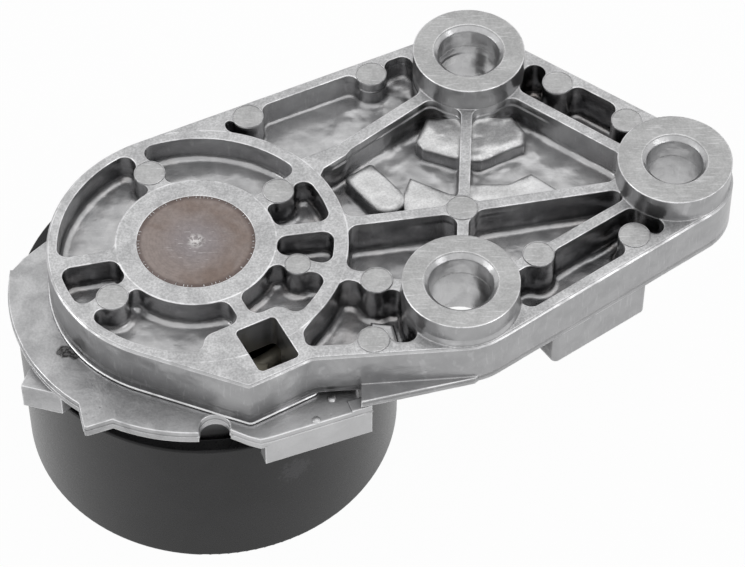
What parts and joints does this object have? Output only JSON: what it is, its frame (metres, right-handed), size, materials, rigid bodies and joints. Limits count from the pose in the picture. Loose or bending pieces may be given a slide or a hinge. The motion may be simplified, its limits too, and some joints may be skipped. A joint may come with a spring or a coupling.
{
  "type": "belt tensioner pulley",
  "caption": "Automatic eccentric belt tensioner: a flat-faced pulley on a sprung arm under a ribbed die-cast bracket with raised bolt bosses and a central pivot pin.",
  "frame": {"origin": "on the axis of the close-fitting locating hole in the end boss, in the plane of the bracket's underside where the bolt heads sit", "axes": "+Z along the bolt holes and the pivot axis, towards the engine face the bosses bolt to; +X from the pivot towards the locating hole as the picture shows it; the pulley hangs towards -Z"},
  "size_m": [0.1239, 0.0834, 0.0557],
  "materials": {
    "cast_alloy": "as-cast, satin",
    "pin_steel": "turned face",
    "spring_steel": "shot-peened wire",
    "ring_steel": "phosphated",
    "bearing_steel": "ground",
    "ball_steel": "polished",
    "drum_steel": "black, satin",
    "bush_polymer": "bearing polymer",
    "cage_polymer": "moulded",
    "black_polymer": "moulded",
    "seal_rubber": "moulded"
  },
  "bodies": {
    "base": {"base_casting": "cast_alloy", "pivot_pin": "pin_steel", "friction_disc": "bush_polymer", "torsion_spring": "spring_steel", "thrust_washer": "ring_steel", "pin_retaining_ring": "ring_steel"},
    "arm": {"arm_casting": "cast_alloy", "upper_bush": "bush_polymer", "lower_bush": "bush_polymer", "spring_sleeve": "bush_polymer", "dust_ring": "seal_rubber", "slinger": "ring_steel", "bearing_inner_ring": "bearing_steel", "hub_retaining_ring": "ring_steel"},
    "balls": {"bearing_balls": "ball_steel", "bearing_cage": "cage_polymer"},
    "pulley": {"pulley_drum": "drum_steel", "bearing_outer_ring": "bearing_steel", "upper_seal": "seal_rubber", "lower_seal": "seal_rubber", "drum_retaining_ring": "ring_steel", "dust_cap": "black_polymer"}
  },
  "joints": [
    {"name": "arm_swing", "type": "hinge", "parent": "base", "child": "arm", "pos_m": [-0.0811, -0.0145, -0.02], "axis": [0, 0, 1], "range_deg": [-60, 0], "stiffness_Nm_per_rad": 2, "springref_deg": 51.57, "deforming": ["torsion_spring"]},
    {"name": "pulley_spin", "type": "hinge", "parent": "arm", "child": "pulley", "pos_m": [-0.0802, -0.0104, -0.02662], "axis": [0, 0, 1], "continuous": true},
    {"name": "cage_turn", "type": "hinge", "parent": "arm", "child": "balls", "pos_m": [-0.0802, -0.0104, -0.02662], "axis": [0, 0, 1], "continuous": true}
  ],
  "couplings": [
    {"joint": "cage_turn", "follows": "pulley_spin", "ratio": 0.584}
  ]
}
